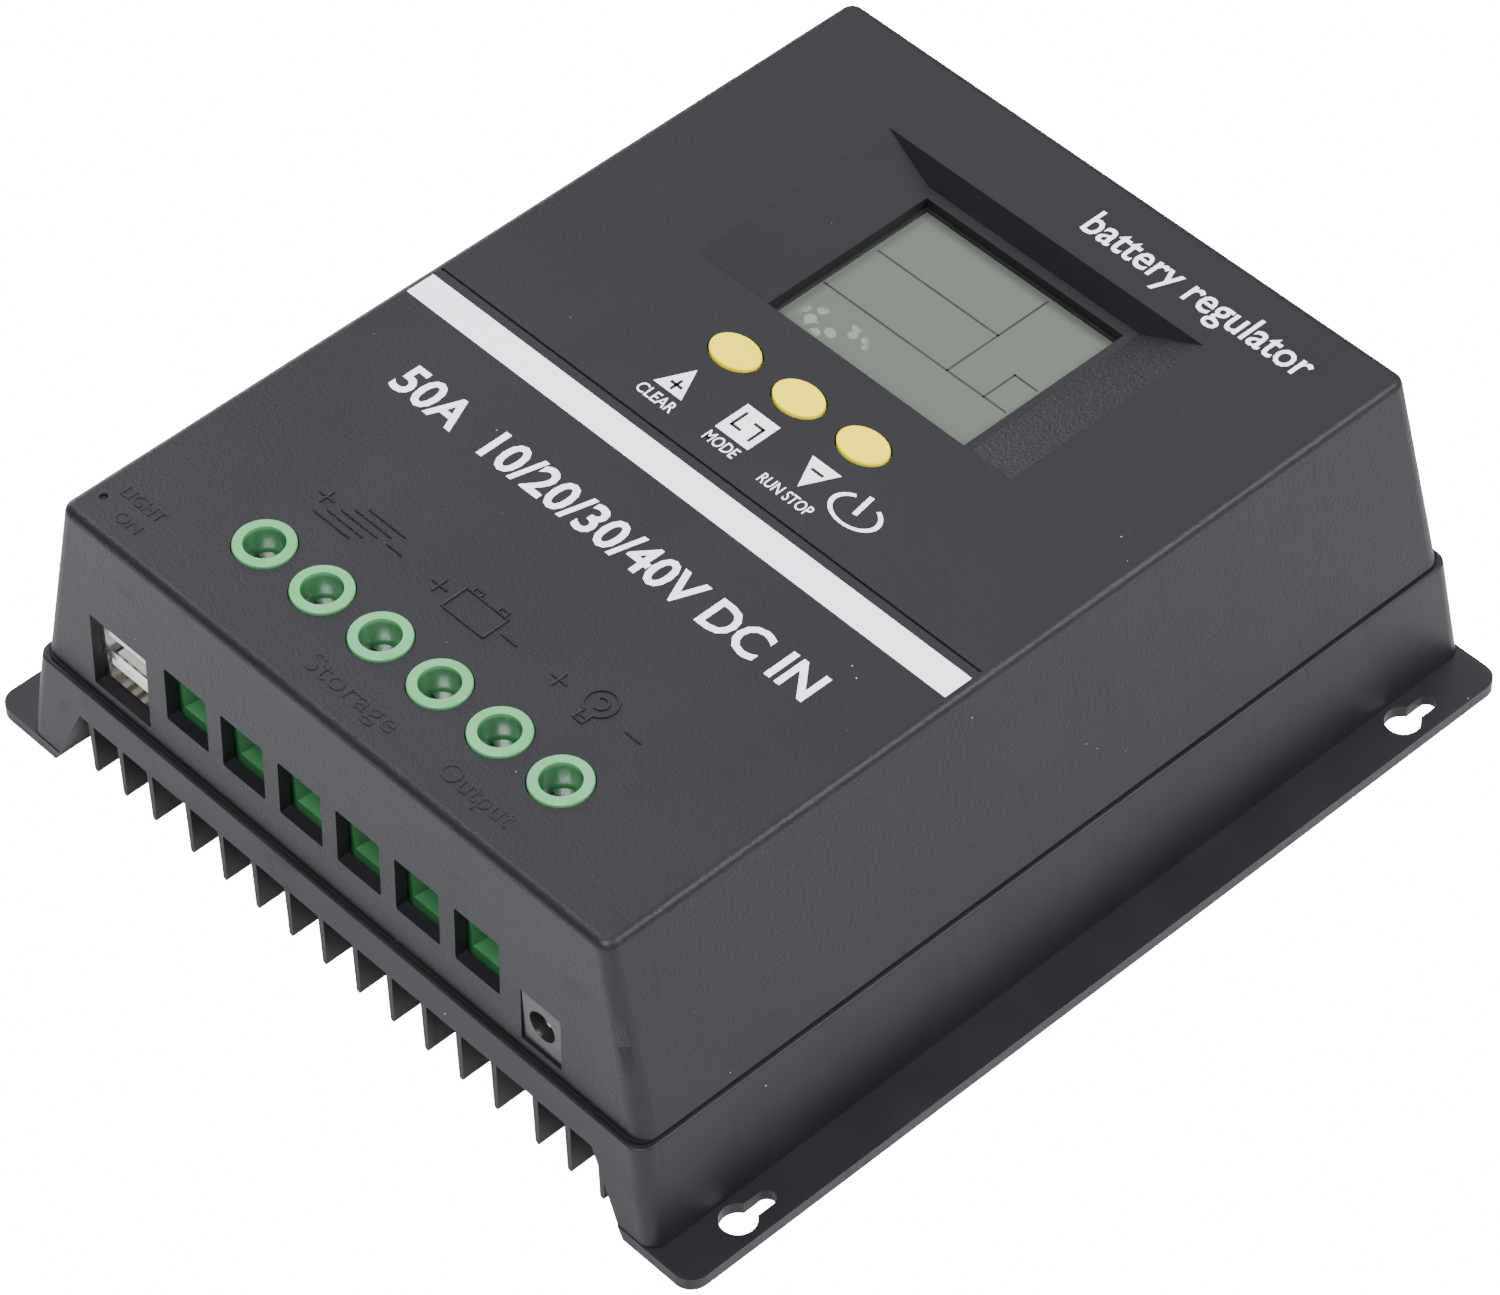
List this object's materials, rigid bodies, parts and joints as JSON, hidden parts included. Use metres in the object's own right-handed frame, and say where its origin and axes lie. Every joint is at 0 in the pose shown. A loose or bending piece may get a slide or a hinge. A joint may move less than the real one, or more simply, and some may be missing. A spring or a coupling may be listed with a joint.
{
  "type": "charge controller",
  "caption": "Wall-mounted solar charge controller: finned cast base with keyhole flanges, moulded cover, display, push buttons, USB and power sockets, and screw clamp wire terminals.",
  "frame": {"origin": "bottom centre of the mounting plane, under the middle of the casting", "axes": "+X along the terminal edge from the USB socket to the power socket, +Y away from the terminal edge, +Z out of the wall through the display"},
  "size_m": [0.1746, 0.188, 0.0631],
  "materials": {
    "cover_plastic": "fine matt texture, near black grey",
    "heatsink_paint": "cast aluminium under satin dark grey paint",
    "seal_rubber": "soft black seal",
    "stripe_white": "pale blue-white inlay",
    "terminal_green": "moulded green insulator",
    "clamp_steel": "zinc plated steel",
    "screw_steel": "zinc plated screws",
    "busbar_metal": "tinned brass strip",
    "spacer_brass": "turned brass",
    "board_laminate": "green printed circuit board",
    "socket_steel": "nickel plated sheet",
    "tongue_white": "white moulded insulator",
    "contact_gold": "plated contact strip",
    "jack_black": "black moulded socket",
    "pipe_clear": "clear light guide",
    "lamp_green": "small indicator lamp",
    "lcd_face": "grey-green display glass",
    "bezel_black": "black sheet frame",
    "panel_white": "white diffuser",
    "button_yellow": "moulded yellow cap",
    "component_black": "black moulded component",
    "pad_grey": "thermal insulating pad",
    "capacitor_blue": "sleeved can",
    "core_ferrite": "powder core",
    "winding_copper": "enamelled copper wire",
    "fuse_ceramic": "ceramic fuse body"
  },
  "bodies": {
    "housing": {"base_heatsink": "heatsink_paint", "seal_gasket": "seal_rubber", "top_cover": "cover_plastic", "stripe_inlay": "stripe_white", "cover_screws": "screw_steel", "main_board": "board_laminate", "board_standoffs": "spacer_brass", "board_screws": "screw_steel", "terminal_housings": "terminal_green", "terminal_busbars": "busbar_metal", "usb_shell": "socket_steel", "usb_insulator": "tongue_white", "usb_contacts": "contact_gold", "dc_jack_body": "jack_black", "dc_jack_pin": "socket_steel", "dc_jack_leaf": "socket_steel", "light_pipe": "pipe_clear", "indicator_led": "lamp_green", "display_board": "board_laminate", "display_board_screws": "screw_steel", "lcd_glass": "lcd_face", "lcd_bezel": "bezel_black", "backlight_panel": "panel_white", "lcd_contact_strip": "component_black", "tact_switches": "component_black", "mosfets": "component_black", "insulation_pad": "pad_grey", "mosfet_clamp_bar": "clamp_steel", "clamp_screws": "screw_steel", "capacitors": "capacitor_blue", "inductor_core": "core_ferrite", "inductor_winding": "winding_copper", "shunt_resistors": "busbar_metal", "fuse_link": "fuse_ceramic", "fuse_clips": "contact_gold", "controller_chip": "component_black", "buzzer": "component_black", "link_socket": "component_black", "link_pin_strip": "component_black"},
    "screw_1": {"terminal_screw_1": "screw_steel"},
    "clamp_1": {"terminal_clamp_1": "clamp_steel"},
    "screw_2": {"terminal_screw_2": "screw_steel"},
    "clamp_2": {"terminal_clamp_2": "clamp_steel"},
    "screw_3": {"terminal_screw_3": "screw_steel"},
    "clamp_3": {"terminal_clamp_3": "clamp_steel"},
    "screw_4": {"terminal_screw_4": "screw_steel"},
    "clamp_4": {"terminal_clamp_4": "clamp_steel"},
    "screw_5": {"terminal_screw_5": "screw_steel"},
    "clamp_5": {"terminal_clamp_5": "clamp_steel"},
    "screw_6": {"terminal_screw_6": "screw_steel"},
    "clamp_6": {"terminal_clamp_6": "clamp_steel"},
    "button_left": {"button_cap_left": "button_yellow", "switch_plunger_left": "component_black"},
    "button_middle": {"button_cap_middle": "button_yellow", "switch_plunger_middle": "component_black"},
    "button_right": {"button_cap_right": "button_yellow", "switch_plunger_right": "component_black"}
  },
  "joints": [
    {"name": "terminal_screw_1_turn", "type": "hinge", "parent": "housing", "child": "screw_1", "pos_m": [-0.03575, -0.0717, 0.056], "axis": [0, 0, -1], "range_deg": [0, 1800]},
    {"name": "terminal_clamp_1_rise", "type": "slide", "parent": "housing", "child": "clamp_1", "axis": [0, 0, 1], "range_m": [0, 0.004]},
    {"name": "terminal_screw_2_turn", "type": "hinge", "parent": "housing", "child": "screw_2", "pos_m": [-0.02145, -0.0717, 0.056], "axis": [0, 0, -1], "range_deg": [0, 1800]},
    {"name": "terminal_clamp_2_rise", "type": "slide", "parent": "housing", "child": "clamp_2", "axis": [0, 0, 1], "range_m": [0, 0.004]},
    {"name": "terminal_screw_3_turn", "type": "hinge", "parent": "housing", "child": "screw_3", "pos_m": [-0.00715, -0.0717, 0.056], "axis": [0, 0, -1], "range_deg": [0, 1800]},
    {"name": "terminal_clamp_3_rise", "type": "slide", "parent": "housing", "child": "clamp_3", "axis": [0, 0, 1], "range_m": [0, 0.004]},
    {"name": "terminal_screw_4_turn", "type": "hinge", "parent": "housing", "child": "screw_4", "pos_m": [0.00715, -0.0717, 0.056], "axis": [0, 0, -1], "range_deg": [0, 1800]},
    {"name": "terminal_clamp_4_rise", "type": "slide", "parent": "housing", "child": "clamp_4", "axis": [0, 0, 1], "range_m": [0, 0.004]},
    {"name": "terminal_screw_5_turn", "type": "hinge", "parent": "housing", "child": "screw_5", "pos_m": [0.02145, -0.0717, 0.056], "axis": [0, 0, -1], "range_deg": [0, 1800]},
    {"name": "terminal_clamp_5_rise", "type": "slide", "parent": "housing", "child": "clamp_5", "axis": [0, 0, 1], "range_m": [0, 0.004]},
    {"name": "terminal_screw_6_turn", "type": "hinge", "parent": "housing", "child": "screw_6", "pos_m": [0.03575, -0.0717, 0.056], "axis": [0, 0, -1], "range_deg": [0, 1800]},
    {"name": "terminal_clamp_6_rise", "type": "slide", "parent": "housing", "child": "clamp_6", "axis": [0, 0, 1], "range_m": [0, 0.004]},
    {"name": "button_left_press", "type": "slide", "parent": "housing", "child": "button_left", "axis": [0, 0, -1], "range_m": [0, 0.0005], "stiffness_N_per_m": 3000, "springref_m": -0.0003},
    {"name": "button_middle_press", "type": "slide", "parent": "housing", "child": "button_middle", "axis": [0, 0, -1], "range_m": [0, 0.0005], "stiffness_N_per_m": 3000, "springref_m": -0.0003},
    {"name": "button_right_press", "type": "slide", "parent": "housing", "child": "button_right", "axis": [0, 0, -1], "range_m": [0, 0.0005], "stiffness_N_per_m": 3000, "springref_m": -0.0003}
  ],
  "couplings": [
    {"joint": "terminal_screw_1_turn", "follows": "terminal_clamp_1_rise", "rad_per_m": 7854},
    {"joint": "terminal_screw_2_turn", "follows": "terminal_clamp_2_rise", "rad_per_m": 7854},
    {"joint": "terminal_screw_3_turn", "follows": "terminal_clamp_3_rise", "rad_per_m": 7854},
    {"joint": "terminal_screw_4_turn", "follows": "terminal_clamp_4_rise", "rad_per_m": 7854},
    {"joint": "terminal_screw_5_turn", "follows": "terminal_clamp_5_rise", "rad_per_m": 7854},
    {"joint": "terminal_screw_6_turn", "follows": "terminal_clamp_6_rise", "rad_per_m": 7854}
  ]
}
